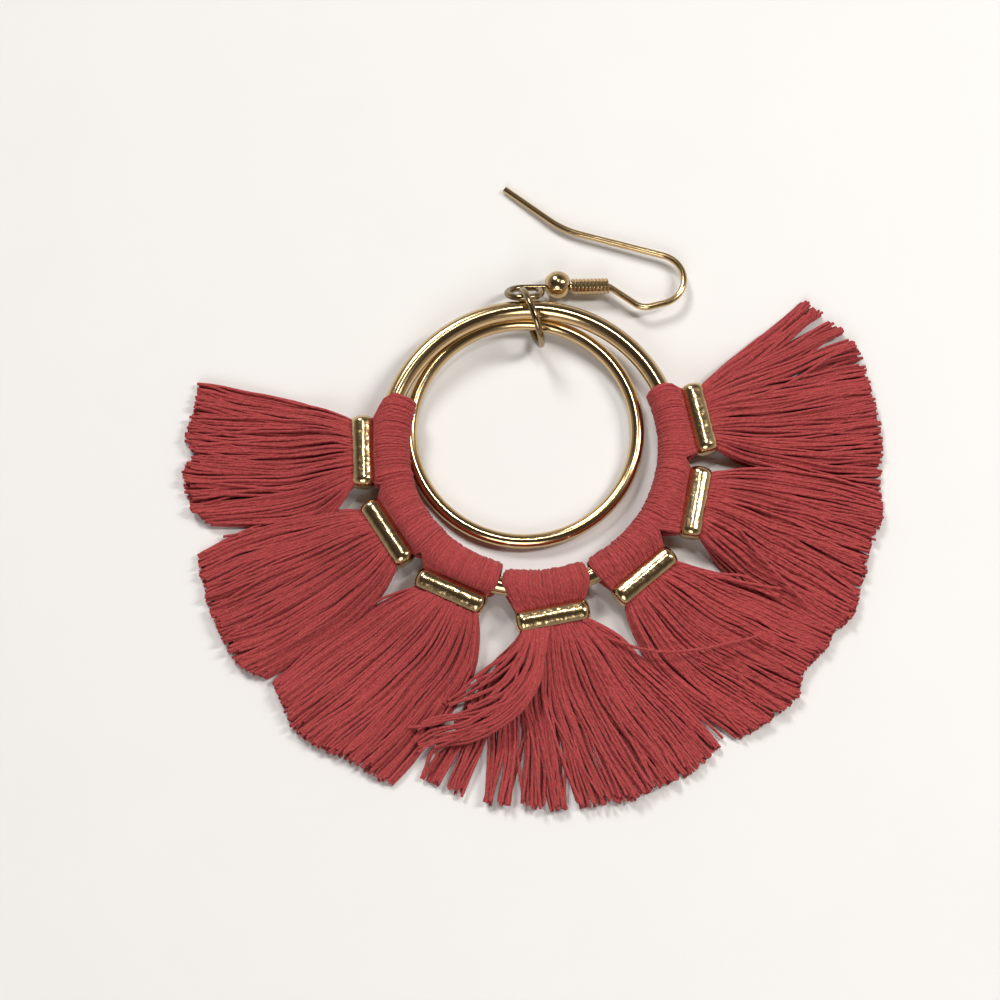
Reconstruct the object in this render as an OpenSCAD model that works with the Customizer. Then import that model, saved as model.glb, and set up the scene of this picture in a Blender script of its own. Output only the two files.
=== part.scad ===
/* [Rings] */
// Diameter of the outer hoop, on the middle of its wire
hoop_d = 27.75; // [26:0.05:30]
// Wire thickness of the outer hoop
hoop_wire = 1.8; // [1.5:0.05:1.85]
// Diameter of the inner ring, on the middle of its wire
ring_d = 21.9; // [20:0.1:23]
// Wire thickness of the inner ring
ring_wire = 1.4; // [1.1:0.05:1.45]
// Distance that the inner ring's wire lies inside the hoop's wire where they come closest
ring_inside = 0.83; // [0.8:0.01:0.9]
// Turn about the hoop's centre at which the two wires come closest
ring_turn = 107; // [104:1:110]
// Slope of both rings, which lean on the upright jump ring
ring_slope = 1.9; // [1.5:0.1:2.2]

/* [Jump ring] */
// Diameter of the jump ring, on the middle of its wire
jump_d = 5.5; // [5.5:0.05:5.8]
// Wire thickness of the jump ring
jump_wire = 0.65; // [0.5:0.05:0.65]
// Turn of the upright jump ring, seen from above
jump_turn = -69.9; // [-80:1:-60]
// Distance of the jump ring's centre inside the middle of the hoop's wire
jump_inside = 0.905; // [0.85:0.005:0.92]
// Distance of the jump ring's centre to the side of the hoop's middle line
jump_side = 0.17; // [0.1:0.01:0.2]

/* [Ear hook] */
// Wire thickness of the ear hook
hook_wire = 0.65; // [0.55:0.05:0.65]
// Diameter of the end loop, on the middle of its wire
loop_d = 3.3; // [3.2:0.05:3.4]
// Lean of the end loop, which lies over the hoop
loop_lean = 52; // [52:0.5:53]
// Turn at which the loop's cut end meets the stem
loop_open = 57; // [56:1:70]
// Distance from the middle of the hoop's wire out to the stem of the hook
stem_gap = 2.875; // [2.85:0.005:2.9]
// Distance from the hoop's middle line back to the start of the stem
stem_side = 0.55; // [0.5:0.01:0.6]
// Length of the straight stem that carries the ball and the coil
stem_l = 7.9; // [7.9:0.1:8.5]
// Turn of the stem, seen from above
stem_turn = 1.3; // [0:0.1:2]
// Inside turn of the first bend, after the coil, as a radius on the middle of the wire
neck_bend_r = 1; // [0.8:0.1:1.2]
// Length of the straight wire between the first bend and the second
drop_l = 2.87; // [2.4:0.01:3]
// Radius of the second bend
knee_r = 1.8; // [1.4:0.1:2.2]
// Length of the straight wire between the second bend and the main bend
rise_l = 1.36; // [1:0.02:1.6]
// Length of the straight tail, which goes through the ear
tail_l = 5.6; // [4:0.1:8]
// Width of the main bend that holds the hook in the ear
bend_d = 5.36; // [4.6:0.02:6]
// Length of the straight wire between the main bend and the tail's bend
shank_l = 8.5; // [7.5:0.1:9]
// Radius of the gentle bend where the shank becomes the tail
tail_bend_r = 8.8; // [6:0.1:12]

/* [Ball and coil] */
// Diameter of the ball on the stem
ball_d = 2.7; // [2.5:0.05:2.7]
// Diameter of the hole through the ball
ball_hole = 1.2; // [1:0.05:1.3]
// Distance along the stem from the loop to the ball
ball_at = 3.3; // [3.2:0.1:3.4]
// Outside diameter of the coil
coil_d = 1.66; // [1.6:0.02:1.8]
// Wire thickness of the coil
coil_wire = 0.36; // [0.3:0.02:0.36]
// Length of the coil
coil_l = 3.8; // [3.5:0.05:3.8]
// Number of turns of the coil
coil_turns = 9.5; // [6:0.5:9.5]

/* [Tubes] */
// Length of a flattened tube
tube_l = 7.1; // [6.8:0.1:7.3]
// Width of a tube along the threads
tube_w = 1.95; // [1.6:0.05:2]
// Thickness of a tube, front to back
tube_t = 2.5; // [2.3:0.05:2.6]
// Thickness of the metal at each end of a tube's slot
slot_wall = 0.3; // [0.3:0.05:1]
// Height of the slot that holds the threads
slot_h = 1.35; // [1.2:0.05:1.4]

/* [Tassels] */
// Thickness of the folded threads round the hoop's wire, outside diameter
wrap_d = 3.2; // [3.1:0.05:3.3]
// Length of the threads from the middle of the hoop's wire to the longest tips
tassel_l = 21.4; // [19:0.1:24]
// Height of a fan at its thread tips
tip_h = 1.25; // [0.9:0.05:1.5]
// Height that the spread threads swell above the slot
swell = 0.35; // [0.1:0.05:0.5]
// Depth of the notches between the locks at the tips
notch = 0.9; // [0.4:0.1:2]

/* [Fits] */
// Gap kept between the metal pieces
metal_gap = 0.05; // [0.04:0.01:0.05]
// Gap kept between the threads and the metal
thread_gap = 0.05; // [0.04:0.01:0.06]
// Gap between the folded threads of neighbouring tassels, as a turn in degrees
wrap_gap = 0.4; // [0.3:0.1:1]

/* [Hidden] */
// One row a tassel, turns in degrees about the hoop's centre:
// 0 and 1 start and end of the folded threads, 2 how far they bulge inwards and
// 4 how far out the tube lies from the hoop's wire, as shares of the fold's thickness,
// 3 turn of the tube, 5 its own turn, 6 and 7 turn of the first and last thread tip,
// 8, 9 and 10 length at the first, middle and last tip as shares of the longest,
// 11 and 12 flare of the first and last thread as they leave the tube, 13 number of locks
TASSELS = [
    [159, 196, 0.234, 181.5, 0.664, 0.6, 167.8, 193.3, 0.919, 0.935, 0.910, -27, 36, 7],
    [196, 226, 0.219, 211.7, 0.664, 0.8, 197.9, 221.6, 0.943, 1.000, 0.950, -32, 28, 7],
    [226, 257, 0.203, 241.9, 0.680, 3.4, 223.4, 248.3, 0.976, 1.009, 0.985, -42, 28, 7],
    [259, 293, 0.063, 277.1, 0.883, 4.0, 250.2, 300.4, 0.877, 1.000, 0.960, -44, 36, 11],
    [296, 325, 0.047, 310.4, 0.867, 0.1, 304.5, 328.0, 0.968, 0.993, 0.943, -32, 34, 6],
    [325, 355, 0.031, 340.9, 0.867, 8.7, 329.9, 352.8, 0.952, 0.960, 0.960, -34, 22, 7],
    [355, 385.5, 0.031, 370.1, 0.820, 2.5, 355.8, 390.6, 0.952, 0.952, 0.828, -34, 34, 8],
];
function fold_from(t) = t[0] + wrap_gap / 2;
function fold_to(t) = t[1] - wrap_gap / 2;
function fold_bulge(t) = t[2] * wrap_d;
function tube_turn(t) = t[3];
function tube_away(t) = hoop_r + t[4] * wrap_d;
function tube_out(t) = t[3] + t[5];
function tip_turn(t, k) = mix(t[6], t[7], k);
function thread_l(t, k) = tassel_l * (k < 0.5 ? mix(t[8], t[9], 2 * k) : mix(t[9], t[10], 2 * k - 1));
function flare(t, k) = mix(t[11], t[12], k);
function locks(t) = t[13];
// Fan profile: 0 share of the way to the tips, 1 height of the top and
// 2 of the underside, both as shares of their height in the slot
PROFILE = [
    [0.00, 1.00, 1.00],
    [0.06, 0.98, 0.62],
    [0.14, 0.90, 0.26],
    [0.24, 0.72, 0.00],
    [0.36, 0.50, 0.00],
    [0.50, 0.32, 0.00],
    [0.66, 0.17, 0.00],
    [0.82, 0.06, 0.00],
    [0.93, 0.02, 0.00],
    [1.00, 0.00, 0.00],
];
// Steps that the ear hook takes after its stem: 0 straight length, 1 radius of the bend,
// 2 turn of the bend
HOOK_STEPS = [
    [stem_l, neck_bend_r, -36.5 - stem_turn],
    [drop_l, knee_r, 51.5],
    [rise_l, bend_d / 2, 149],
    [shank_l, tail_bend_r, -22],
    [tail_l, 0, 0],
];
function step_l(i) = HOOK_STEPS[i][0];
function step_r(i) = HOOK_STEPS[i][1];
function step_turn(i) = HOOK_STEPS[i][2];
// Uneven lengths of the locks, as shares of their full length
LOCK_LENGTHS = [0.99, 1, 0.975, 0.995, 0.985, 1, 0.97, 0.99];

$fn = 64;
gold = [0.83, 0.66, 0.42];
coral = [0.66, 0.27, 0.25];

hoop_r = hoop_d / 2;
ring_r = ring_d / 2;
jump_r = jump_d / 2;
loop_r = loop_d / 2;
// Points round one turn of the coil, and round its wire
coil_steps = 14;
coil_sides = 6;
// Bends are this much thicker than the straights, and take in this length of their ends
bend_extra = 0.01 * hook_wire;
bend_lap = 0.05 * hook_wire;
// How far the threads reach back from a tube into the fold
neck_reach = 0.375 * wrap_d;
// Length of the slot that the threads go through
slot_l = tube_l - 2 * slot_wall;
// Diameter of the fold's inner side, where the threads lie closer
inner_wrap_d = 0.94 * wrap_d;
// Threads bend at this share of their way from the tube to the tips
bend_share = 0.36;
// Share of a fan's thickness that is left at its sides, and lost between two locks
thin_side = 0.25;
lock_dip = 0.35;
// The fan swells and its locks part over this share of its length
swell_share = 0.4;
// The ball lies on the floor and hangs off its wire, a little up and towards the tail
ball_play = (ball_hole - hook_wire) / 2;
ball_lift = 0.36 * ball_play;
ball_drop = sqrt(pow(ball_play - metal_gap, 2) - pow(ball_lift, 2));
// The coil starts where the drilled ball ends
coil_at = ball_at + sqrt(pow(ball_d, 2) - pow(ball_hole, 2)) / 2 + metal_gap;

// The inner ring lies behind the hoop, as near as the two wires let it come where they are closest
rings_apart = (hoop_wire + ring_wire) / 2 + metal_gap;
ring_behind = sqrt(pow(rings_apart, 2) - pow(ring_inside, 2));
ring_shift = (hoop_r - ring_r - ring_inside) * [cos(ring_turn), sin(ring_turn)];

// The inner ring's lowest point rests on the floor, which sets the height of the hoop's centre
hoop_z = ring_wire / 2 + ring_behind * cos(ring_slope) + (ring_r - ring_shift[1]) * sin(ring_slope);
// The ball rests on the floor and carries the wire a little below its middle
stem_z = ball_d / 2 + metal_gap / 2 - ball_lift;
// Where the loop's outer strand runs on as the stem
stem_start = [-stem_side, hoop_r + stem_gap, stem_z];

// Points and headings reached after each step of the hook, in the plane of its bends
function bend_end(p, h, r, a) =
    p + r * sign(a) * [sin(h + a) - sin(h), cos(h) - cos(h + a)];
function straight_end(p, h, l) = p + l * [cos(h), sin(h)];
function heading(i) = i == 0 ? stem_turn : heading(i - 1) + step_turn(i - 1);
function step_start(i) =
    i == 0 ? [0, 0] : bend_end(step_corner(i - 1), heading(i - 1), step_r(i - 1), step_turn(i - 1));
function step_corner(i) = straight_end(step_start(i), heading(i), step_l(i));
tail = len(HOOK_STEPS) - 1;
// The bends lean until the tail's end rests on the floor
hook_lean = asin((stem_z - hook_wire / 2) / step_corner(tail)[1]);

function mix(a, b, k) = a + (b - a) * k;
function flat(a) = [cos(a), sin(a)];
// Height of the hoop's plane over a point of the floor
function hoop_plane_z(y) = hoop_z + y * tan(ring_slope);
// Middle height of a tube: three quarters of the way up from lying on the floor to the hoop's plane
function tube_z(t) = mix(tube_t / 2, hoop_plane_z(tube_centre(t)[1]), 0.75);
function tube_centre(t) = tube_away(t) * flat(tube_turn(t));
// A thread's place in the slot, k from 0 at the first to 1 at the last, out along the threads
function slot_point(t, k, out) =
    tube_centre(t) + out * flat(tube_out(t))
    + (k - 0.5) * (slot_l - 2 * thread_gap) * flat(tube_out(t) + 90);
function tip_point(t, k) = (hoop_r + thread_l(t, k)) * flat(tip_turn(t, k));
// Threads leave the tube with their flare and bend round to their tips
function thread_point(t, k, way) =
    let (
        a = slot_point(t, k, tube_w / 2 + thread_gap),
        c = tip_point(t, k),
        b = a + bend_share * norm(c - a) * flat(tube_out(t) + flare(t, k))
    )
    a * (1 - way) * (1 - way) + b * 2 * way * (1 - way) + c * way * way;
// 0 in the middle of a lock and 1 between two locks
function between(t, k) = pow(abs(2 * (k * locks(t) - lock(t, k)) - 1), 2);
function lock(t, k) = min(floor(k * locks(t) + 0.0001), locks(t) - 1);
function lock_way(t, k) =
    LOCK_LENGTHS[(lock(t, k) + round(tube_turn(t))) % len(LOCK_LENGTHS)]
    - between(t, k) * notch / tassel_l;
// Share of the full thickness, less towards both sides of the fan
function fullness(k) = max(thin_side, sqrt(1 - pow(abs(2 * k - 1), 4)));
function slot_top(t) = tube_z(t) + slot_h / 2 - thread_gap;
function slot_bottom(t) = tube_z(t) - slot_h / 2 + thread_gap;
function fan_top(t, k, row) =
    let (
        full = mix(tip_h, slot_top(t), row[1]) + swell * sin(180 * min(1, row[0] / swell_share)),
        low = mix(0, slot_bottom(t), row[2]),
        dip = 1 - lock_dip * between(t, k) * min(1, row[0] / swell_share)
    )
    mix(low, full, mix(0.5, 1, fullness(k)) * dip);
function fan_bottom(t, k, row) =
    mix(0, slot_bottom(t), row[2]) + (1 - fullness(k)) * 0.5 * (slot_h - 2 * thread_gap) * row[2];
function neck_height(t, k, side) =
    tube_z(t) + side * fullness(k) * (slot_h / 2 - thread_gap);

// Points of a tassel's fan: each row goes over the top and back under, from first to last thread
function fan_columns(t) = 3 * locks(t);
function neck_row(t, out) =
    let (n = fan_columns(t))
    concat(
        [for (i = [0:n]) let (p = slot_point(t, i / n, out)) [p[0], p[1], neck_height(t, i / n, 1)]],
        [for (i = [n:-1:0]) let (p = slot_point(t, i / n, out)) [p[0], p[1], neck_height(t, i / n, -1)]]
    );
function fan_row(t, row) =
    let (n = fan_columns(t))
    concat(
        [for (i = [0:n]) let (k = i / n, p = thread_point(t, k, row[0] * lock_way(t, k)))
            [p[0], p[1], fan_top(t, k, row)]],
        [for (i = [n:-1:0]) let (k = i / n, p = thread_point(t, k, row[0] * lock_way(t, k)))
            [p[0], p[1], fan_bottom(t, k, row)]]
    );
function fan_rows(t) =
    concat(
        [neck_row(t, -tube_w / 2 - neck_reach), neck_row(t, tube_w / 2)],
        [for (row = PROFILE) fan_row(t, row)]
    );
function joined(lists) = [for (l = lists) each l];

// Faces between neighbouring rows of points, each row a closed loop of n points
function skin(rows, n) = [
    for (r = [0:rows - 2], c = [0:n - 1])
        let (a = r * n + c, b = r * n + (c + 1) % n)
        each [[a, b, b + n], [a, b + n, a + n]],
];
// Faces that close a loop of n points that goes out along its first half and back along its second
function lid(first, n, flip) = [
    for (i = [0:n / 2 - 2])
        let (a = first + i, b = first + n - 1 - i)
        each flip ? [[a, a + 1, b], [a + 1, b - 1, b]] : [[a, b, a + 1], [a + 1, b, b - 1]],
];

// Everything is drawn about the hoop's centre on the floor, then moved so that the middle of its
// outline on the floor is the origin
tips = [for (t = TASSELS) each [for (i = [0:fan_columns(t)])
    thread_point(t, i / fan_columns(t), lock_way(t, i / fan_columns(t)))]];
tail_end = [stem_start[0] + step_corner(tail)[0], stem_start[1] + step_corner(tail)[1] * cos(hook_lean)];
tail_reach = tail_end[1] - hook_wire / 2 * cos(heading(tail)) * cos(hook_lean);
low_x = min([for (p = tips) p[0]]);
high_x = max([for (p = tips) p[0]]);
low_y = min([for (p = tips) p[1]]);
high_y = tail_reach;
module centred() {
    translate([-(low_x + high_x) / 2, -(low_y + high_y) / 2, 0]) children();
}

// The plane of both rings
module hoop_plane() {
    translate([0, 0, hoop_z]) rotate([ring_slope, 0, 0]) children();
}

module torus(r, wire) {
    rotate_extrude($fn = 96) translate([r, 0]) circle(d = wire);
}

module inner_ring_at_place(wire) {
    hoop_plane() translate(concat(ring_shift, -ring_behind)) torus(ring_r, wire);
}

module hoop_outer() {
    color(gold) centred() hoop_plane() torus(hoop_r, hoop_wire);
}

module hoop_inner() {
    color(gold) centred() inner_ring_at_place(ring_wire);
}

module jump_ring() {
    color(gold) centred() translate([jump_side, hoop_r - jump_inside, jump_r + jump_wire / 2])
        rotate([90, 0, jump_turn]) torus(jump_r, jump_wire);
}

// One bend of the hook's wire, which starts at the origin and heads along X
module bend(r, a) {
    translate([0, sign(a) * r, 0])
        rotate_extrude(angle = abs(a), start = a > 0 ? 270 : 90 + a)
            translate([r, 0]) circle(d = hook_wire + bend_extra, $fn = 32);
}

// A straight of the hook's wire, whose ends run a little way into the bends
module straight(l, ends) {
    translate([-bend_lap, 0, 0]) rotate([0, 90, 0])
        cylinder(d = hook_wire, h = l + ends * bend_lap, $fn = 32);
}

// The end loop: it starts as the stem's end and turns back to just short of the stem
module end_loop() {
    rotate([hook_lean - loop_lean, 0, 0]) translate([0, -loop_r, 0])
        rotate_extrude(angle = 360 - loop_open, start = 90)
            translate([loop_r, 0]) circle(d = hook_wire + bend_extra, $fn = 32);
}

module ear_hook() {
    color(gold) centred() translate(stem_start) rotate([-hook_lean, 0, 0]) {
        rotate([0, 0, stem_turn]) end_loop();
        for (i = [0:tail])
            translate(concat(step_start(i), 0)) rotate([0, 0, heading(i)]) {
                straight(step_l(i), i < tail ? 2 : 1);
                if (i < tail)
                    translate([step_l(i), 0, 0]) bend(step_r(i), step_turn(i));
            }
    }
}

// A place along the stem, with X along it
module on_stem(along) {
    centred() translate(stem_start) rotate([-hook_lean, 0, 0]) rotate([0, 0, stem_turn])
        translate([along, 0, 0]) children();
}

module hook_ball() {
    color(gold) centred() translate(stem_start) rotate([0, 0, stem_turn])
        translate([ball_at, ball_drop, ball_lift]) rotate([0, 90, 0]) rotate_extrude() intersection() {
            circle(d = ball_d);
            translate([ball_hole / 2, -ball_d]) square(2 * ball_d);
        }
}

// One fine wire wound in close turns, drawn as rings of points along a helix
module hook_coil() {
    steps = round(coil_turns * coil_steps);
    wound_r = (coil_d - coil_wire) / 2;
    pitch = (coil_l - coil_wire) / coil_turns;
    color(gold) on_stem(coil_at + coil_wire / 2) polyhedron(
        points = [
            for (i = [0:steps], j = [0:coil_sides - 1])
                let (
                    turn = 360 * i / coil_steps,
                    around = 360 * j / coil_sides,
                    r = wound_r + coil_wire / 2 * cos(around)
                )
                [pitch * turn / 360 + coil_wire / 2 * sin(around), r * cos(turn), r * sin(turn)]
        ],
        faces = concat(
            skin(steps + 1, coil_sides),
            [[for (j = [coil_sides - 1:-1:0]) j]],
            [[for (j = [0:coil_sides - 1]) steps * coil_sides + j]]
        )
    );
}

// Threads folded over the hoop's wire, between two turns about the hoop's centre
module wrapped_threads(t) {
    hoop_plane() rotate_extrude(angle = fold_to(t) - fold_from(t), start = fold_from(t), $fn = 96)
        translate([hoop_r, 0]) {
            circle(d = wrap_d, $fn = 48);
            translate([-fold_bulge(t), 0]) circle(d = inner_wrap_d, $fn = 48);
        }
}

module tassel(t) {
    points = fan_rows(t);
    n = len(points[0]);
    color(coral) centred() difference() {
        union() {
            difference() {
                wrapped_threads(t);
                translate(concat(tube_centre(t), 0)) rotate([0, 0, tube_out(t)])
                    translate([-tube_w / 2 - thread_gap, -tube_l, 0]) cube([tube_l, 2 * tube_l, 3 * tube_t]);
                inner_ring_at_place(ring_wire + 2 * thread_gap);
            }
            polyhedron(
                points = joined(points),
                faces = concat(skin(len(points), n), lid(0, n, false), lid((len(points) - 1) * n, n, true))
            );
        }
        hoop_plane() torus(hoop_r, hoop_wire + 2 * thread_gap);
    }
}

// A round bar with two flat sides and rounded ends, slotted for the threads
module tube(t) {
    color(gold) centred() translate(concat(tube_centre(t), tube_z(t))) rotate([0, 0, tube_out(t)])
        difference() {
            intersection() {
                rotate([-90, 0, 0]) rounded_bar();
                cube([tube_w, 2 * tube_l, 2 * tube_t], center = true);
            }
            for (side = [-1, 1])
                translate([0, side * (slot_l - slot_h) / 2, 0]) rotate([0, 90, 0])
                    cylinder(d = slot_h, h = 2 * tube_w, center = true, $fn = 32);
            cube([2 * tube_w, slot_l - slot_h, slot_h], center = true);
        }
}

module rounded_bar() {
    corner = tube_t * 0.3;
    rotate_extrude() intersection() {
        translate([0, -tube_l]) square([tube_t, 2 * tube_l]);
        union() {
            square([tube_t, tube_l - 2 * corner], center = true);
            square([tube_t - 2 * corner, tube_l], center = true);
            for (out = [-1, 1], side = [-1, 1])
                translate([out * (tube_t / 2 - corner), side * (tube_l / 2 - corner)])
                    circle(r = corner, $fn = 32);
        }
    }
}

module tassel_1() { tassel(TASSELS[0]); }
module tassel_2() { tassel(TASSELS[1]); }
module tassel_3() { tassel(TASSELS[2]); }
module tassel_4() { tassel(TASSELS[3]); }
module tassel_5() { tassel(TASSELS[4]); }
module tassel_6() { tassel(TASSELS[5]); }
module tassel_7() { tassel(TASSELS[6]); }
module tube_1() { tube(TASSELS[0]); }
module tube_2() { tube(TASSELS[1]); }
module tube_3() { tube(TASSELS[2]); }
module tube_4() { tube(TASSELS[3]); }
module tube_5() { tube(TASSELS[4]); }
module tube_6() { tube(TASSELS[5]); }
module tube_7() { tube(TASSELS[6]); }

ear_hook();
hook_ball();
hook_coil();
jump_ring();
hoop_outer();
hoop_inner();
tassel_1();
tassel_2();
tassel_3();
tassel_4();
tassel_5();
tassel_6();
tassel_7();
tube_1();
tube_2();
tube_3();
tube_4();
tube_5();
tube_6();
tube_7();
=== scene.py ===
import math
import random
from typing import NamedTuple

import bpy
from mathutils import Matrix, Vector


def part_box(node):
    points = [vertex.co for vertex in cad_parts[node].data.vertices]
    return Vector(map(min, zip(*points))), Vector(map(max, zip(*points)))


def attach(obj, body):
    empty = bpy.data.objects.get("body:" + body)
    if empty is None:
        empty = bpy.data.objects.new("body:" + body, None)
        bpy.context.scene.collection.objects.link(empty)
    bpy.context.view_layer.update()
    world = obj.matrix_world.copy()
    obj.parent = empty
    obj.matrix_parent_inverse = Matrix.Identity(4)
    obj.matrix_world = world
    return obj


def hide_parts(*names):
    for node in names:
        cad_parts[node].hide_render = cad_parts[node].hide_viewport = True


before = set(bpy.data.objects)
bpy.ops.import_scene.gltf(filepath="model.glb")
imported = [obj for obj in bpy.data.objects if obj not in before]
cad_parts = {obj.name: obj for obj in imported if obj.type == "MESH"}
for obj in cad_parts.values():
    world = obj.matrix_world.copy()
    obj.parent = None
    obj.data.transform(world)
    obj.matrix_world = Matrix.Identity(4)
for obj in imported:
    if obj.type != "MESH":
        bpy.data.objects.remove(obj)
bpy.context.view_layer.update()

# The earring lies on its back on a pale table, seen from a little in front of straight above.
# Its places are measured from the middle of the hoop, in millimetres.
MM = 0.001
hoop_low, hoop_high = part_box("hoop_outer")
hoop_middle = (Vector(hoop_low) + Vector(hoop_high)) / 2 / MM

CAMERA_AWAY = 280
CAMERA_TILT = math.radians(16.9)
LOOKS_AT = Vector((hoop_middle.x - 2.9, hoop_middle.y - 4.54, 0))
camera = bpy.data.cameras.new("camera")
camera.lens = 104.94
camera.sensor_width = 36
camera.clip_start = 0.01
camera_object = bpy.data.objects.new("camera", camera)
camera_object.rotation_euler = (CAMERA_TILT, 0, 0)
looks_back = Vector((0, -math.sin(CAMERA_TILT), math.cos(CAMERA_TILT)))
camera_object.location = MM * (LOOKS_AT + CAMERA_AWAY * looks_back)
bpy.context.scene.collection.objects.link(camera_object)
bpy.context.scene.camera = camera_object


# The table is a plain pale board in a room with a dim ceiling. Two far windows and two near soft
# boxes light the earring, so that its metal has bright streaks between darker bands.
class Wire:
    """An output in a node tree, which plain arithmetic can use."""

    def __init__(self, tree, socket):
        self.tree, self.socket = tree, socket

    def maths(self, operation, first, second=0.0):
        return self.tree.add("ShaderNodeMath", {"operation": operation}, {0: first, 1: second})

    def __add__(self, other):
        return self.maths("ADD", self, other)

    def __radd__(self, other):
        return self.maths("ADD", other, self)

    def __sub__(self, other):
        return self.maths("SUBTRACT", self, other)

    def __rsub__(self, other):
        return self.maths("SUBTRACT", other, self)

    def __mul__(self, other):
        return self.maths("MULTIPLY", self, other)

    def __rmul__(self, other):
        return self.maths("MULTIPLY", other, self)

    def __rtruediv__(self, other):
        return self.maths("DIVIDE", other, self)

    def __pow__(self, other):
        return self.maths("POWER", self, other)

    def wave(self):
        return self.maths("SINE", self)


class Tree:
    """A node tree whose nodes all come from one method."""

    def __init__(self, node_tree):
        self.node_tree = node_tree

    def add(self, kind, settings=None, sockets=None, out=0):
        """Adds a node with these settings, and inputs by name or number, and gives its output."""
        node = self.node_tree.nodes.new(kind)
        for name, value in (settings or {}).items():
            if name == "stops":
                ramp = node.color_ramp.elements
                for stop, (place, colour) in enumerate(value):
                    element = ramp[stop] if stop < 2 else ramp.new(place)
                    element.position, element.color = place, colour
            else:
                setattr(node, name, value)
        for name, value in (sockets or {}).items():
            if isinstance(value, Wire):
                self.node_tree.links.new(value.socket, node.inputs[name])
            else:
                node.inputs[name].default_value = value
        return Wire(self, node.outputs[out]) if len(node.outputs) else None


def new_material(name):
    material = bpy.data.materials.new(name)
    material.use_nodes = True
    material.node_tree.nodes.clear()
    return material, Tree(material.node_tree)


def mixed(tree, share, first, second):
    """A colour between two, by a share from 0 to 1."""
    return tree.add("ShaderNodeMix", {"data_type": "RGBA"}, {0: share, 6: first, 7: second}, out=2)


TABLE_SIZE = 2.0
TABLE_COLOUR = (0.80, 0.80, 0.80, 1)
SPECKLE_COLOUR = (0.776, 0.776, 0.776, 1)
ROOM_ABOVE = (0.10, 0.08, 0.065, 1)
ROOM_WALLS = (0.88, 0.86, 0.84, 1)
WALLS_END, CEILING_STARTS = 0.12, 0.62
ROOM_STRENGTH = 0.52
bpy.context.scene.view_settings.view_transform = "Standard"

table_mesh = bpy.data.meshes.new("table")
corner = TABLE_SIZE / 2
table_mesh.from_pydata(
    [(-corner, -corner, 0), (corner, -corner, 0), (corner, corner, 0), (-corner, corner, 0)],
    [], [(0, 1, 2, 3)])
table = bpy.data.objects.new("table", table_mesh)
bpy.context.scene.collection.objects.link(table)
paint, tree = new_material("table")
coordinates = tree.add("ShaderNodeTexCoord", out="Object")
speckle = tree.add("ShaderNodeTexNoise", {}, {"Vector": coordinates, "Scale": 90.0, "Detail": 4.0}, out="Fac")
shade = mixed(tree, speckle, TABLE_COLOUR, SPECKLE_COLOUR)
surface = tree.add("ShaderNodeBsdfPrincipled", {}, {
    "Base Color": shade, "Roughness": 0.6, "Specular IOR Level": 0.3})
tree.add("ShaderNodeOutputMaterial", {}, {"Surface": surface})
table_mesh.materials.append(paint)

world = bpy.data.worlds.new("room")
world.use_nodes = True
world.node_tree.nodes.clear()
tree = Tree(world.node_tree)
looking = tree.add("ShaderNodeTexCoord", out="Generated")
upwards = tree.add("ShaderNodeSeparateXYZ", {}, {"Vector": looking}, out="Z")
room = tree.add("ShaderNodeValToRGB", {
    "stops": ((WALLS_END, ROOM_WALLS), (CEILING_STARTS, ROOM_ABOVE))}, {"Fac": upwards})
room = tree.add("ShaderNodeBackground", {}, {"Color": room, "Strength": ROOM_STRENGTH})
tree.add("ShaderNodeOutputWorld", {}, {"Surface": room})
bpy.context.scene.world = world


def placed_light(name, kind, place, power, colour):
    """A light at a place in metres that faces the earring."""
    light = bpy.data.lights.new(name, kind)
    light.energy, light.color = power, colour
    holder = bpy.data.objects.new(name, light)
    holder.location = place
    holder.rotation_euler = Vector(place).to_track_quat("Z", "Y").to_euler()
    bpy.context.scene.collection.objects.link(holder)
    return light


def far_window(name, place, power, width, colour):
    """A light so far away that it is even, as wide as an angle in degrees."""
    placed_light(name, "SUN", place, power, colour).angle = math.radians(width)


def soft_box(name, place, size, power, colour):
    """A near light with a width and a height in metres."""
    light = placed_light(name, "AREA", place, power, colour)
    light.shape = "RECTANGLE"
    light.size, light.size_y = size


far_window("back window", place=(-0.20, 0.38, 0.42), power=1.75, width=17, colour=(1.0, 0.97, 0.94))
far_window("front window", place=(-0.05, -0.42, 0.36), power=0.93, width=30, colour=(1.0, 0.98, 0.96))
soft_box("lamp", place=(0.36, 0.10, 0.42), size=(0.08, 0.22), power=1.6, colour=(1.0, 0.96, 0.91))
soft_box("overhead", place=(0.03, 0.17, 0.53), size=(0.03, 0.05), power=0.4, colour=(1.0, 0.97, 0.92))


# The metal is pale gold plating on brass, polished, with the faint unevenness of cast and
# drawn pieces that were tumbled before they were plated. Where the hook is linked it carries painted shade.
GOLD = (0.68, 0.50, 0.27, 1)
GOLD_WORN = (0.50, 0.34, 0.17, 1)
# Gold darkened as painted shade where the hook, jump ring and hoop crowd together
GOLD_IN_PAINTED_SHADE = (0.27, 0.20, 0.108, 1)
# Where the jump ring meets the hook, and how far from it the painted shade starts to fade and ends
LINK = hoop_middle + Vector((-0.1, 14.2, 0))
LINK_SHADE_FADES, LINK_SHADE_ENDS = 4.2, 6.0
# How much rougher worn places are, and the height of the dents
WORN_ROUGHER = 0.08
DENT_HEIGHT = 0.1


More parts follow.
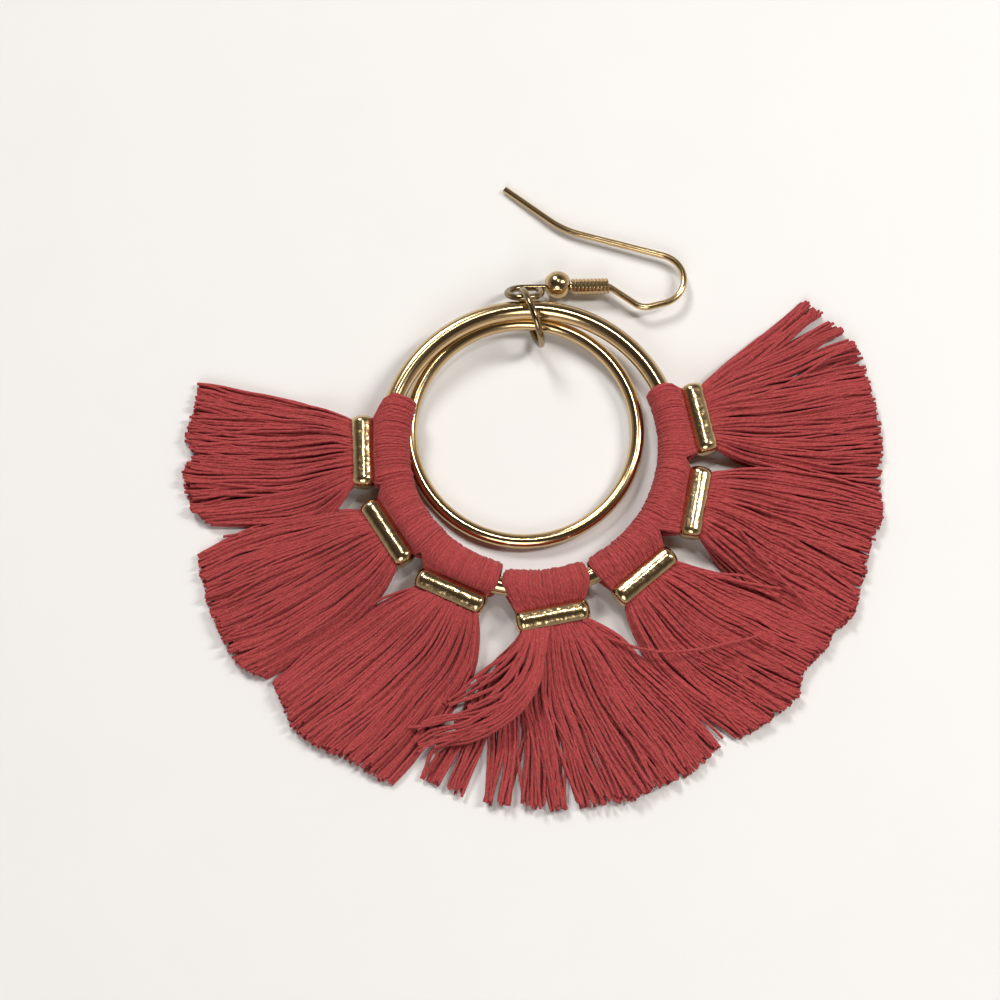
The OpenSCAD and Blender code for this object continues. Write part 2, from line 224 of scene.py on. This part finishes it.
def plated_metal(name, rough, dent_size, dent_depth, link_shade=0.0):
    """Gold plating with soft dents of a size in millimetres, with painted shade where the hook is linked."""
    material, tree = new_material(name)
    place = tree.add("ShaderNodeTexCoord", out="Object")
    cloud = tree.add("ShaderNodeTexNoise", {}, {"Vector": place, "Scale": 420.0, "Detail": 3.0}, out="Fac")
    dents = tree.add("ShaderNodeTexNoise", {}, {
        "Vector": place, "Scale": 1 / (dent_size * MM), "Detail": 1.5}, out="Fac")
    bumps = tree.add("ShaderNodeBump", {}, {
        "Height": dents, "Strength": dent_depth, "Distance": DENT_HEIGHT * MM})
    gold = mixed(tree, cloud ** 2.0, GOLD, GOLD_WORN)
    # Painted shade: the gold darkens towards the link, where the hook, jump ring and hoop crowd together.
    away = tree.add("ShaderNodeVectorMath", {"operation": "DISTANCE"}, {0: place, 1: LINK * MM}, out="Value")
    painted_shade = tree.add("ShaderNodeMapRange", {}, {
        "Value": away, "From Min": LINK_SHADE_FADES * MM, "From Max": LINK_SHADE_ENDS * MM,
        "To Min": link_shade, "To Max": 0.0})
    gold = mixed(tree, painted_shade, gold, GOLD_IN_PAINTED_SHADE)
    shine = tree.add("ShaderNodeBsdfPrincipled", {}, {
        "Base Color": gold, "Metallic": 1.0, "Roughness": rough + WORN_ROUGHER * cloud, "Normal": bumps})
    tree.add("ShaderNodeOutputMaterial", {}, {"Surface": shine})
    return material


def finish_with(material, *nodes):
    """Gives nodes of the frame this material in all their slots."""
    for name in nodes:
        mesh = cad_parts[name].data
        mesh.materials.clear()
        mesh.materials.append(material)


# Two rings of bent and soldered wire carry the earring: the hoop that the threads are folded
# over, and a thinner plain ring behind it. A small jump ring with painted shade joins them to the hook.
drawn_wire = plated_metal("polished gold wire", rough=0.12, dent_size=2.5, dent_depth=0.25)
# The jump ring and the hook get gold with painted shade towards their link.
shaded_link_wire = plated_metal("gold wire with painted shade", rough=0.14, dent_size=2.5, dent_depth=0.25, link_shade=1.0)
finish_with(drawn_wire, "hoop_outer", "hoop_inner")
finish_with(shaded_link_wire, "jump_ring")


# The ear hook is one length of round wire bent by hand tools, with a drilled ball and a
# close-wound coil of fine wire pushed on to its stem.
# The hook's wire carries painted shade near the link.
finish_with(shaded_link_wire, "ear_hook")
finish_with(drawn_wire, "hook_ball", "hook_coil")


# A flattened tube holds each tassel. It is pressed from thin sheet round the folded threads,
# so its faces are a little uneven.
pressed_metal = plated_metal("pressed gold tube", rough=0.15, dent_size=0.7, dent_depth=0.55)
finish_with(pressed_metal, *["tube_%d" % number for number in range(1, 8)])


# Each tassel is a bundle of two-ply cotton threads, folded over the hoop, pressed together in
# its tube and cut off by hand, so that they fan out on the table in uneven clumps.
class Tassel(NamedTuple):
    """The turns between which a tassel is folded over the hoop, how far the fold bulges inwards,
    the turn of its tube, the flare of its first and last thread, the turns and reaches of its cut
    line, the shares of the fan that its wisps fill, how far threads draw together in clumps, and
    its seed. Turns are degrees about the hoop's middle, lengths are millimetres."""
    fold_from: float
    fold_to: float
    bulge: float
    tube_turn: float
    flare_from: float
    flare_to: float
    tips: tuple
    wisps: tuple
    clump: float
    seed: int


CLOSED_FAN = ((0.0, 1.0),)
TASSELS = (
    Tassel(159, 196, 0.75, 182.1, -27, 36,
           ((167.9, 33.0), (171.5, 32.9), (177.3, 33.5), (180.8, 32.4), (183.2, 33.6), (190.0, 33.1),
            (193.4, 31.3)),
           CLOSED_FAN, 0.25, 11),
    Tassel(196, 226, 0.70, 212.5, -32, 32,
           ((197.5, 33.4), (201.5, 34.0), (207.0, 34.3), (212.0, 34.7), (217.0, 34.8), (221.8, 33.5)),
           CLOSED_FAN, 0.2, 12),
    Tassel(226, 257, 0.65, 245.3, -48, 28,
           ((222.8, 33.4), (225.5, 34.0), (230.0, 35.3), (235.4, 35.1), (240.4, 34.6), (248.2, 34.9)),
           CLOSED_FAN, 0.2, 13),
    Tassel(259, 293, 0.20, 281.1, -44, 36,
           ((248.3, 31.8), (252.7, 33.5), (258.0, 33.9), (262.8, 34.5), (268.0, 34.6), (273.8, 35.1),
            (278.0, 35.0), (285.7, 35.3), (291.0, 34.8), (295.7, 34.8), (301.2, 34.0)),
           ((0.106, 0.144), (0.174, 0.227), (0.291, 0.319), (0.341, 0.379), (0.407, 0.472), (0.491, 0.547),
            (0.577, 1.0)),
           0.2, 14),
    Tassel(296, 325, 0.15, 310.5, -32, 34,
           ((304.3, 34.0), (310.0, 34.7), (316.7, 34.9), (320.0, 33.8), (325.6, 34.1), (328.6, 33.7)),
           CLOSED_FAN, 0.25, 15),
    Tassel(325, 355, 0.10, 349.6, -34, 22,
           ((328.0, 33.9), (332.0, 34.6), (336.0, 34.2), (342.7, 33.7), (348.7, 34.4), (353.7, 34.0)),
           CLOSED_FAN, 0.2, 16),
    Tassel(355, 385.5, 0.10, 372.6, -34, 34,
           ((354.8, 33.7), (362.7, 34.1), (368.0, 34.0), (371.5, 33.7), (377.9, 33.8), (383.4, 32.8),
            (390.4, 31.3)),
           ((0.0, 0.60), (0.63, 0.735), (0.775, 0.862), (0.90, 1.0)), 0.2, 17),
)
# Turns where a fold ends with no other fold against it
FREE_FOLD_ENDS = (159, 257, 259, 293, 296, 385.5)


class Sweep(NamedTuple):
    """Threads that strayed over a fan: the tassel, how many, the shares of the tube's length where
    they come out, how far apart their tips lie, and their way from the hoop's middle."""
    tassel: int
    threads: int
    leaves_from: float
    leaves_to: float
    apart: float
    way: tuple


SWEEPS = (
    Sweep(4, 7, 0.02, 0.09, 1.3,
          ((-1.3, -19.9, 2.6), (-3.3, -21.6, 2.3), (-5.5, -23.0, 1.8), (-7.6, -24.8, 1.2))),
    Sweep(4, 11, 0.06, 0.22, 2.0,
          ((-0.8, -21.0, 2.7), (-2.4, -23.4, 2.6), (-4.7, -25.0, 2.1), (-7.5, -25.8, 1.6))),
    Sweep(4, 15, 0.12, 0.42, 3.2,
          ((0.2, -21.6, 2.7), (-1.6, -24.6, 2.8), (-3.8, -26.2, 2.5), (-6.3, -27.1, 2.1),
           (-9.0, -27.6, 1.7), (-11.0, -28.4, 1.4))),
    Sweep(4, 4, 0.30, 0.38, 0.4,
          ((0.6, -22.6, 2.8), (-0.8, -25.5, 2.9), (-3.3, -27.4, 2.6), (-5.6, -28.1, 2.1),
           (-8.2, -28.8, 1.5), (-9.2, -30.0, 1.0), (-10.0, -31.9, 0.5))),
    Sweep(3, 1, 0.97, 0.99, 0,
          ((-5.2, -18.9, 2.0), (-5.5, -20.2, 1.5), (-5.9, -21.4, 1.0), (-5.4, -22.2, 0.6))),
    Sweep(3, 2, 0.95, 0.99, 0.4,
          ((-5.4, -19.3, 2.0), (-5.7, -21.0, 1.6), (-6.7, -22.5, 1.2), (-7.6, -23.7, 1.0),
           (-8.1, -24.8, 0.9))),
    Sweep(4, 1, 0.98, 0.99, 0,
          ((5.9, -17.8, 2.1), (7.4, -18.8, 2.0), (8.8, -19.2, 1.9), (10.6, -19.9, 2.5),
           (13.0, -20.2, 2.8), (15.8, -20.0, 2.7), (18.8, -19.2, 2.4), (21.5, -18.5, 2.1))),
    Sweep(4, 6, 0.90, 0.99, 1.6,
          ((8.2, -18.8, 1.4), (10.7, -21.2, 1.1), (13.2, -23.8, 0.9), (15.7, -26.5, 0.7),
           (17.9, -28.7, 0.4))),
    Sweep(1, 10, 0.86, 0.99, 2.4,
          ((-19.5, -5.9, 1.3), (-22.9, -7.2, 0.9), (-26.4, -8.0, 0.7), (-30.8, -8.7, 0.5))),
    Sweep(6, 1, 0.30, 0.32, 0,
          ((19.4, -8.0, 2.5), (21.4, -10.3, 2.45), (23.5, -12.7, 2.2), (26.1, -15.5, 1.8))),
    Sweep(5, 4, 0.95, 0.99, 0.9,
          ((15.9, -12.2, 1.9), (18.1, -12.6, 1.7), (20.5, -13.2, 1.5), (23.6, -14.1, 1.4))),
)
# Sizes of the solids that the threads keep to, the thickness of a thread, and the steps of its
# line in the fan
RING_SLOPE = math.tan(math.radians(1.9))
HOOP_RADIUS = 13.875
FOLD_RADIUS = 1.6
SLOT_LENGTH = 6.5
SLOT_HEIGHT = 1.25
TUBE_WIDTH = 1.95
THREAD_IN_FAN = 0.28
THREAD_IN_FOLD = 0.27
FAN_STEPS = 17
# Heights of a fan, and the shares of the way to the tips where its top has come down, where
# its underside lies on the table and how fast it swells behind the tube
TIP_HEIGHT = 1.25
SWELL = 0.35
TOP_DOWN_AT = 0.55
UNDERSIDE_DOWN_AT = 0.24
SWELL_RATE = 2.2
THINNEST_SIDE = 0.25
# Threads have their place in the fan at this share of the way, and bend at the other
SPREAD_AT = 0.8
BEND_AT = 0.36
# How far the fold leans towards its tube's middle, where it meets another fold and where not
LEAN_BETWEEN = 0.15
LEAN_AT_FREE_END = 0.45
FREE_END_THINS = 0.22
# The fold starts this far before the tube, leaves the hoop's wire at this angle, and bulges on
# its way up and hangs on its way down by these heights
FOLD_STARTS = 0.1
FOLD_LEAVES_AT = 52
FOLD_BULGES, FOLD_HANGS = 0.12, 0.06


def mix(first, second, share):
    return first + (second - first) * share


def flat(turn):
    return Vector((math.cos(math.radians(turn)), math.sin(math.radians(turn)), 0))


def smooth(share):
    share = min(1.0, max(0.0, share))
    return share * share * (3 - 2 * share)


def cut_length(tips, share):
    """Turn and reach of a thread's tip, with the tips spread evenly from the first to the last."""
    place = share * (len(tips) - 1)
    first = min(int(place), len(tips) - 2)
    part = place - first
    return mix(tips[first][0], tips[first + 1][0], part), mix(tips[first][1], tips[first + 1][1], part)


def in_wisps(share, wisps):
    """The share of the fan's width where a thread ends, when the threads part into wisps."""
    left = share * sum(end - start for start, end in wisps)
    for start, end in wisps:
        if left <= end - start:
            return start + left
        left -= end - start
    return wisps[-1][1]


class Thread(NamedTuple):
    """One end of a thread: its share across the tube, its layer and how it strays."""
    share: float
    layer: float
    tip_share: float
    cut: float
    bow: float
    lift: float


def fan_height(tube_height, way, share, layer):
    """Height above the table along the way from the tube to the tips."""
    full = max(THINNEST_SIDE, (1 - abs(2 * share - 1) ** 4) ** 0.5)
    drop = 1 - smooth(way / TOP_DOWN_AT)
    top = mix(TIP_HEIGHT, tube_height + SLOT_HEIGHT / 2, drop)
    top += SWELL * math.sin(math.pi * min(1, SWELL_RATE * way))
    under = mix(0, tube_height - SLOT_HEIGHT / 2, 1 - smooth(way / UNDERSIDE_DOWN_AT))
    top = mix(mix(under, top, 0.5), top, full)
    thick = THREAD_IN_FAN / 2
    return mix(under + thick, max(top - thick, under + thick), layer)


def fan_point(tassel, tube_middle, thread, way):
    """A place on the free end of a thread, from the tube at 0 to the tip at 1."""
    out = flat(tassel.tube_turn)
    across = flat(tassel.tube_turn + 90)
    share = mix(thread.share, thread.tip_share, smooth(way / SPREAD_AT))
    turn, reach = cut_length(tassel.tips, min(1.0, max(0.0, share)))
    start = tube_middle + out * (TUBE_WIDTH / 2) + across * (thread.share - 0.5) * SLOT_LENGTH
    start.z = 0
    tip = Vector((hoop_middle.x, hoop_middle.y, 0)) + flat(turn) * (reach - thread.cut)
    flare = flat(tassel.tube_turn + mix(tassel.flare_from, tassel.flare_to, thread.share))
    bend = start + flare * BEND_AT * (tip - start).length
    place = start * (1 - way) ** 2 + bend * 2 * way * (1 - way) + tip * way ** 2
    side = Vector((-(tip - start).y, (tip - start).x, 0)).normalized()
    place += side * thread.bow * math.sin(math.pi * way)
    place.z = fan_height(tube_middle.z, way, thread.share, thread.layer) + thread.lift * math.sin(math.pi * way)
    return place


def fold_points(tassel, tube_middle, share, radius, slot_heights, strays):
    """The fold of a thread from the top of the slot over the hoop to the bottom of the slot."""
    out = flat(tassel.tube_turn)
    across = flat(tassel.tube_turn + 90)
    face = tube_middle - out * (TUBE_WIDTH / 2 + FOLD_STARTS) + across * (share - 0.5) * SLOT_LENGTH
    hoop_turn = mix(tassel.fold_from, tassel.fold_to, share)
    face_turn = math.degrees(math.atan2(face.y - hoop_middle.y, face.x - hoop_middle.x))
    face_turn += 360 * round((hoop_turn - face_turn) / 360)
    nearer_end = tassel.fold_from if share < 0.5 else tassel.fold_to
    free_end = nearer_end in FREE_FOLD_ENDS
    lean_here = LEAN_AT_FREE_END if free_end else LEAN_BETWEEN
    if free_end:
        radius *= 1 - FREE_END_THINS * abs(2 * share - 1) ** 12

    def over(angle, shift):
        """A place round the hoop's wire, from its outer side at 0 over its top at 90."""
        along = HOOP_RADIUS - shift + radius * math.cos(math.radians(angle))
        lean = lean_here * max(0, math.cos(math.radians(angle)))
        stray = mix(strays[0], strays[1], 0.5 - 0.5 * math.cos(math.radians(angle)))
        place = hoop_middle + flat(mix(hoop_turn, face_turn, lean) + stray) * along
        hoop_height = hoop_middle.z + (place.y - hoop_middle.y) * RING_SLOPE
        place.z = hoop_height + radius * math.sin(math.radians(angle))
        return place

    top = Vector((face.x, face.y, tube_middle.z + slot_heights[0]))
    bottom = Vector((face.x, face.y, tube_middle.z + slot_heights[1]))
    rise = over(FOLD_LEAVES_AT, 0)
    fall = over(-FOLD_LEAVES_AT, 0)
    return (
        [top, mix(top, rise, 0.6) + Vector((0, 0, FOLD_BULGES)), rise, over(72, 0), over(90, 0)]
        + [over(angle, tassel.bulge) for angle in range(100, 261, 20)]
        + [over(270, 0), over(288, 0), fall, mix(bottom, fall, 0.6) - Vector((0, 0, FOLD_HANGS)), bottom]
    )


def through(places, steps):
    """A smooth line of points through some places."""
    line = []
    last = len(places) - 1
    for step in range(steps + 1):
        here = min(int(step / steps * last), last - 1)
        part = step / steps * last - here
        before, start, end, beyond = (places[min(max(here + i, 0), last)] for i in (-1, 0, 1, 2))
        line.append(0.5 * (
            2 * start + (end - before) * part + (2 * before - 5 * start + 4 * end - beyond) * part ** 2
            + (3 * start - before - 3 * end + beyond) * part ** 3))
    return line


# How unevenly swept threads lie in millimetres, to the side and in height, their spacing at the
# tube as a share of that at the tips, the most points cut off a line, and its steps a place
SWEPT_ASIDE = 0.28
SWEPT_HEIGHTS = (-0.2, 0.1)
SWEPT_CLOSER = 0.6
SWEPT_CUT = 6
STEPS_A_PLACE = 5


def swept_threads(sweep, tassel, tube_middle, chance):
    """The lines of a sweep's threads, from the tube's face to their tips."""
    out = flat(tassel.tube_turn)
    along_tube = flat(tassel.tube_turn + 90)
    middles = [Vector((hoop_middle.x + x, hoop_middle.y + y, z)) for x, y, z in sweep.way]
    for number in range(sweep.threads):
        order = (number + 0.5) / sweep.threads
        across = (2 * order - 1) * sweep.apart / 2
        leaves = mix(sweep.leaves_from, sweep.leaves_to, order) - 0.5
        places = [tube_middle + out * TUBE_WIDTH / 2 + along_tube * leaves * SLOT_LENGTH
                  + Vector((0, 0, SLOT_HEIGHT / 2))]
        for step, middle in enumerate(middles):
            ahead = middles[min(step + 1, len(middles) - 1)] - middles[max(step - 1, 0)]
            side = Vector((-ahead.y, ahead.x, 0)).normalized()
            loose = mix(SWEPT_CLOSER, 1, step / (len(middles) - 1))
            aside = across + chance.gauss(0, SWEPT_ASIDE if sweep.threads > 2 else 0)
            places.append(middle + side * aside * loose + Vector((0, 0, chance.uniform(*SWEPT_HEIGHTS))))
        line = through(places, STEPS_A_PLACE * len(middles))
        yield line[:len(line) - chance.randint(0, SWEPT_CUT if sweep.threads > 4 else 0)]


def strand_network(name, strands):
    """A mesh of bare lines. Each point keeps its thickness, how free it is and its strand's tone."""
    points, edges = [], []
    kept = {"thickness": [], "free": [], "tone": []}
    for strand_points, thicknesses, freedoms, strand_tone in strands:
        first = len(points)
        points += [tuple(MM * p) for p in strand_points]
        edges += [(first + i, first + i + 1) for i in range(len(strand_points) - 1)]
        kept["thickness"] += [MM * thickness for thickness in thicknesses]
        kept["free"] += freedoms
        kept["tone"] += [strand_tone] * len(strand_points)
    mesh = bpy.data.meshes.new(name)
    mesh.from_pydata(points, edges, [])
    for attribute, values in kept.items():
        mesh.attributes.new(attribute, "FLOAT", "POINT").data.foreach_set("value", values)
    network = bpy.data.objects.new(name, mesh)
    bpy.context.scene.collection.objects.link(network)
    return network


# How far the sway of a thread differs from that of its neighbours
SWAY_DIFFERS = 90.0


def spinning_tree(material):
    """Geometry nodes that sway the lines of a network and spin a thread round every one of them."""
    group = bpy.data.node_groups.new("spun thread", "GeometryNodeTree")
    group.interface.new_socket("Geometry", in_out="INPUT", socket_type="NodeSocketGeometry")
    for name in ("Sides", "Bundle sway", "Bundle size", "Thread sway", "Thread size", "Seed"):
        kind = "NodeSocketInt" if name == "Sides" else "NodeSocketFloat"
        group.interface.new_socket(name, in_out="INPUT", socket_type=kind)
    group.interface.new_socket("Geometry", in_out="OUTPUT", socket_type="NodeSocketGeometry")
    tree = Tree(group)
    inputs = group.nodes.new("NodeGroupInput").outputs
    given = {socket.name: Wire(tree, socket) for socket in inputs if socket.name}
    curves = tree.add("GeometryNodeMeshToCurve", {}, {"Mesh": given["Geometry"]})
    place = tree.add("GeometryNodeInputPosition")

    def kept(name):
        return tree.add("GeometryNodeInputNamedAttribute", {"data_type": "FLOAT"}, {"Name": name})

    def vector_maths(operation, sockets):
        return tree.add("ShaderNodeVectorMath", {"operation": operation}, sockets)

    def sway(amount, size, seed):
        """Offsets that change smoothly over a length and differ with the seed."""
        cloud = tree.add("ShaderNodeTexNoise", {"noise_dimensions": "4D"},
                         {"Vector": place, "W": seed, "Scale": 1.0 / size, "Detail": 1.0}, out=1)
        middle = vector_maths("SUBTRACT", {0: cloud, 1: (0.5, 0.5, 0.5)})
        return vector_maths("SCALE", {0: middle, 3: amount * kept("free")})

    bundle = sway(given["Bundle sway"], given["Bundle size"], given["Seed"])
    single = sway(given["Thread sway"], given["Thread size"], given["Seed"] + kept("tone") * SWAY_DIFFERS)
    swayed = vector_maths("ADD", {0: vector_maths("ADD", {0: place, 1: bundle}), 1: single})
    x, y, z = (tree.add("ShaderNodeSeparateXYZ", {}, {"Vector": swayed}, out=axis) for axis in "XYZ")
    on_table = z.maths("MAXIMUM", z, kept("thickness") * 0.5)
    swayed = tree.add("ShaderNodeCombineXYZ", {}, {"X": x, "Y": y, "Z": on_table})
    curves = tree.add("GeometryNodeSetPosition", {}, {"Geometry": curves, "Position": swayed})
    along = tree.add("GeometryNodeSplineParameter", out="Length")
    curves = tree.add("GeometryNodeStoreNamedAttribute", {"data_type": "FLOAT", "domain": "POINT"},
                      {"Geometry": curves, "Name": "along", "Value": along})
    ring = tree.add("GeometryNodeCurvePrimitiveCircle", {"mode": "RADIUS"},
                    {"Resolution": given["Sides"], "Radius": 1.0})
    round_place = tree.add("GeometryNodeInputPosition")
    ring = tree.add("GeometryNodeStoreNamedAttribute", {"data_type": "FLOAT_VECTOR", "domain": "POINT"},
                    {"Geometry": ring, "Name": "around", "Value": round_place})
    skin = tree.add("GeometryNodeCurveToMesh", {}, {
        "Curve": curves, "Profile Curve": ring, "Scale": kept("thickness") * 0.5, "Fill Caps": True})
    skin = tree.add("GeometryNodeSetShadeSmooth", {}, {"Geometry": skin})
    skin = tree.add("GeometryNodeRealizeInstances", {}, {"Geometry": skin})
    skin = tree.add("GeometryNodeSetMaterial", {}, {"Geometry": skin, "Material": material})
    tree.add("NodeGroupOutput", {}, {"Geometry": skin})
    return group


def as_plain_mesh(piece, group, values):
    """Runs the geometry nodes on a piece, with values by name, and keeps only their mesh."""
    modifier = piece.modifiers.new("spin", "NODES")
    modifier.node_group = group
    for socket in group.interface.items_tree:
        if socket.name in values:
            modifier[socket.identifier] = values[socket.name]
    evaluated = piece.evaluated_get(bpy.context.evaluated_depsgraph_get())
    mesh = bpy.data.meshes.new_from_object(evaluated)
    piece.modifiers.clear()
    piece.data = mesh
    return piece


# Colours of the dyed cotton, with painted shade between its plies and painted sheen on its fuzz, how much of
# each shows, and the turns of its plies
COTTON_DEEP = (0.30, 0.036, 0.038, 1)
COTTON_PALE = (0.45, 0.064, 0.066, 1)
# Painted shade in the grooves between the plies
COTTON_SHADE_BETWEEN_PLIES = (0.27, 0.032, 0.035, 1)
# Painted sheen: pale speckles where loose fuzz catches the light
COTTON_FUZZ_SHEEN = (0.60, 0.13, 0.125, 1)
TONE_SHARE, DYE_SHARE = 0.7, 0.3
PLY_SHADE_SHOWS = 0.4
FUZZ_SHEEN_SHOWS = 2.0
PLY_TURN = 0.95
PLIES_DIFFER = 40.0


def cotton_thread():
    """Matte dyed cotton, lighter and darker from thread to thread, with the twist of two plies, painted shade
    in the grooves between them and pale speckles of painted sheen on its fuzz.
    """
    material, tree = new_material("coral cotton thread")
    tone = tree.add("ShaderNodeAttribute", {"attribute_name": "tone"}, out="Fac")
    along = tree.add("ShaderNodeAttribute", {"attribute_name": "along"}, out="Fac")
    around = tree.add("ShaderNodeAttribute", {"attribute_name": "around"}, out="Vector")
    cosine, sine = (tree.add("ShaderNodeSeparateXYZ", {}, {"Vector": around}, out=axis) for axis in "XY")
    turns = along * (math.tau / (PLY_TURN * MM)) + tone * PLIES_DIFFER
    twist = (turns + sine.maths("ARCTAN2", sine, cosine) * 2).wave()
    place = tree.add("ShaderNodeTexCoord", out="Object")
    fuzz = tree.add("ShaderNodeTexNoise", {}, {"Vector": place, "Scale": 6000.0, "Detail": 2.0}, out="Fac")
    dye = tree.add("ShaderNodeTexNoise", {}, {"Vector": place, "Scale": 160.0, "Detail": 2.0}, out="Fac")
    depth = (twist + 1) * 0.5
    colour = mixed(tree, tone * TONE_SHARE + dye * DYE_SHARE, COTTON_DEEP, COTTON_PALE)
    # Painted shade darkens the grooves between the two plies.
    colour = mixed(tree, (1 - depth) * PLY_SHADE_SHOWS, colour, COTTON_SHADE_BETWEEN_PLIES)
    # Pale speckles of painted sheen stand for light caught by loose fuzz.
    colour = mixed(tree, (fuzz - 0.5) * FUZZ_SHEEN_SHOWS, colour, COTTON_FUZZ_SHEEN)
    bumps = tree.add("ShaderNodeBump", {}, {
        "Height": depth + fuzz * 0.5, "Strength": 0.7, "Distance": 0.06 * MM})
    yarn = tree.add("ShaderNodeBsdfPrincipled", {}, {
        "Base Color": colour, "Roughness": 0.85, "Normal": bumps,
        "Specular IOR Level": 0.2, "Sheen Weight": 0.2, "Sheen Roughness": 0.5,
        "Sheen Tint": (0.95, 0.62, 0.58, 1)})
    tree.add("ShaderNodeOutputMaterial", {}, {"Surface": yarn})
    return material


class Layer(NamedTuple):
    """Threads of one layer: how many, how deep in the fold in threads, and the heights of their
    ends in the fan, from 0 at the table to 1 at the top."""
    threads: int
    depth: float
    end_heights: tuple


LAYERS = (Layer(44, 0.5, (1.0, 0.0)), Layer(60, 0.8, (0.9, 0.12)), Layer(62, 1.4, (0.7, 0.4)))
# How unevenly threads lie: their places across the tube in spaces between threads, the share of
# them that wander far, how far those and the others wander in shares of the fan, their heights
# in the fan, and in millimetres how they are cut, bow and lift
SPACING = (0.3, 0.7)
FAR_WANDERERS = 0.25
WANDER_FAR, WANDER_NEAR = 0.07, 0.02
HEIGHT_SPREAD = 0.12
CUT_SPREAD = 0.5
BOW_SPREAD = 0.4
LIFTS = (-0.08, 0.12)
# The same for the fold: turns in degrees at the hoop's outer and inner side, and the lift
FOLD_STRAYS = (0.3, 0.4)
FOLD_LIFT = 0.03
THICKNESS_SPREAD = (0.9, 1.1)


def folded_threads(tassel, tube_middle, chance):
    """The threads of a tassel, each from one tip through the tube, over the hoop and back."""
    clumps = 2 * len(tassel.tips)
    for layer in LAYERS:
        radius = FOLD_RADIUS - layer.depth * THREAD_IN_FOLD
        for number in range(layer.threads):
            share = (number + chance.uniform(*SPACING)) / layer.threads
            ends = []
            for height in layer.end_heights:
                nearest = (math.floor(share * clumps) + 0.5) / clumps
                wander = WANDER_FAR if chance.random() < FAR_WANDERERS else WANDER_NEAR
                ends.append(Thread(
                    share=share, layer=height + chance.uniform(-HEIGHT_SPREAD, HEIGHT_SPREAD),
                    tip_share=in_wisps(
                        min(1, max(0, mix(share, nearest, tassel.clump) + chance.gauss(0, wander))),
                        tassel.wisps),
                    cut=abs(chance.gauss(0, CUT_SPREAD)), bow=chance.gauss(0, BOW_SPREAD),
                    lift=chance.uniform(*LIFTS)))
            ways = [step / FAN_STEPS for step in range(FAN_STEPS + 1)]
            out = [fan_point(tassel, tube_middle, ends[0], way) for way in reversed(ways)]
            back = [fan_point(tassel, tube_middle, ends[1], way) for way in ways]
            heights = [(min(1, max(0, end.layer)) - 0.5) * (SLOT_HEIGHT - THREAD_IN_FOLD) for end in ends]
            strays = [chance.gauss(0, spread) for spread in FOLD_STRAYS]
            lift = chance.gauss(0, FOLD_LIFT)
            fold = fold_points(tassel, tube_middle, share, radius + lift, heights, strays)
            fat = THREAD_IN_FAN * chance.uniform(*THICKNESS_SPREAD)
            sizes = [mix(THREAD_IN_FOLD, fat, smooth(3 * way)) for way in ways]
            free = [smooth(2.5 * way) for way in ways]
            yield (out + fold + back, sizes[::-1] + [THREAD_IN_FOLD] * len(fold) + sizes,
                   free[::-1] + [0.0] * len(fold) + free, chance.random())


# How freely swept threads sway beside those of the fan, and how far and over what length in
# millimetres threads sway in bundles and singly
SWEPT_FREEDOM = 0.5
BUNDLE_SWAY, BUNDLE_SIZE = 0.85, 7
THREAD_SWAY, THREAD_SIZE = 0.45, 6
THREAD_SIDES = 6
spin = spinning_tree(cotton_thread())
for number, tassel in enumerate(TASSELS, 1):
    low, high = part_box("tube_%d" % number)
    tube_middle = (Vector(low) + Vector(high)) / 2 / MM
    chance = random.Random(tassel.seed)
    strands = list(folded_threads(tassel, tube_middle, chance))
    for sweep in SWEEPS:
        if sweep.tassel == number:
            strands += [(line, [THREAD_IN_FAN] * len(line), [SWEPT_FREEDOM] * len(line), chance.random())
                        for line in swept_threads(sweep, tassel, tube_middle, chance)]
    piece = as_plain_mesh(strand_network("threads_%d" % number, strands), spin, {
        "Sides": THREAD_SIDES, "Seed": float(tassel.seed),
        "Bundle sway": BUNDLE_SWAY * MM, "Bundle size": BUNDLE_SIZE * MM,
        "Thread sway": THREAD_SWAY * MM, "Thread size": THREAD_SIZE * MM})
    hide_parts("tassel_%d" % number)
    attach(piece, "root")
